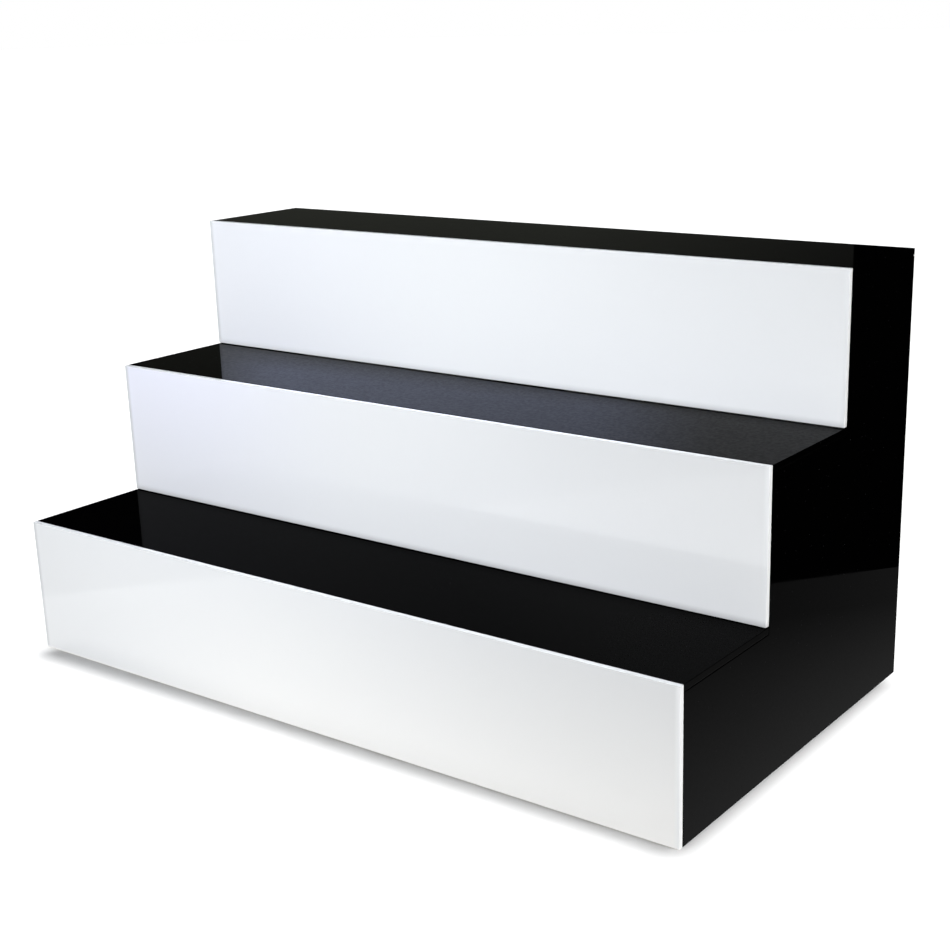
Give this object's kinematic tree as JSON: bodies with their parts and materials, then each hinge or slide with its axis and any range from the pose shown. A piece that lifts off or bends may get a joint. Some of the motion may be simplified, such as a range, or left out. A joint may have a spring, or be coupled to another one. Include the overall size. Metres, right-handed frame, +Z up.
{
  "type": "tiered bottle display stand",
  "caption": "Stepped counter stand that shows bottles in rows: glossy black treads on stepped black side panels, opal white risers, open back.",
  "frame": {"origin": "on the table, under the middle of the stand", "axes": "+X along the steps to the right seen from the front, +Y from the front to the back, +Z up"},
  "size_m": [0.61, 0.33, 0.33],
  "materials": {
    "black_acrylic": "polished black cast acrylic sheet",
    "opal_acrylic": "polished opal white acrylic sheet, slightly translucent",
    "clear_acrylic": "clear square acrylic bar with sawn ends",
    "clear_pad": "clear soft non-slip pad"
  },
  "bodies": {
    "root": {"base_bar_front": "clear_acrylic", "base_bar_left": "clear_acrylic", "base_bar_rear": "clear_acrylic", "base_bar_right": "clear_acrylic", "centre_rib": "opal_acrylic", "foot_pad_front_centre": "clear_pad", "foot_pad_front_left": "clear_pad", "foot_pad_front_right": "clear_pad", "foot_pad_rear_centre": "clear_pad", "foot_pad_rear_left": "clear_pad", "foot_pad_rear_right": "clear_pad", "heel_bar_middle": "clear_acrylic", "heel_bar_upper": "clear_acrylic", "nosing_bar_lower": "clear_acrylic", "nosing_bar_middle": "clear_acrylic", "nosing_bar_upper": "clear_acrylic", "rear_top_rail": "black_acrylic", "riser_cleat_lower_left": "clear_acrylic", "riser_cleat_lower_right": "clear_acrylic", "riser_cleat_middle_left": "clear_acrylic", "riser_cleat_middle_right": "clear_acrylic", "riser_cleat_upper_left": "clear_acrylic", "riser_cleat_upper_right": "clear_acrylic", "riser_lower": "opal_acrylic", "riser_middle": "opal_acrylic", "riser_upper": "opal_acrylic", "side_panel_left": "black_acrylic", "side_panel_right": "black_acrylic", "tread_bearer_lower_left": "clear_acrylic", "tread_bearer_lower_right": "clear_acrylic", "tread_bearer_middle_left": "clear_acrylic", "tread_bearer_middle_right": "clear_acrylic", "tread_bearer_upper_left": "clear_acrylic", "tread_bearer_upper_right": "clear_acrylic", "tread_lower": "black_acrylic", "tread_middle": "black_acrylic", "tread_upper": "black_acrylic"}
  },
  "joints": []
}
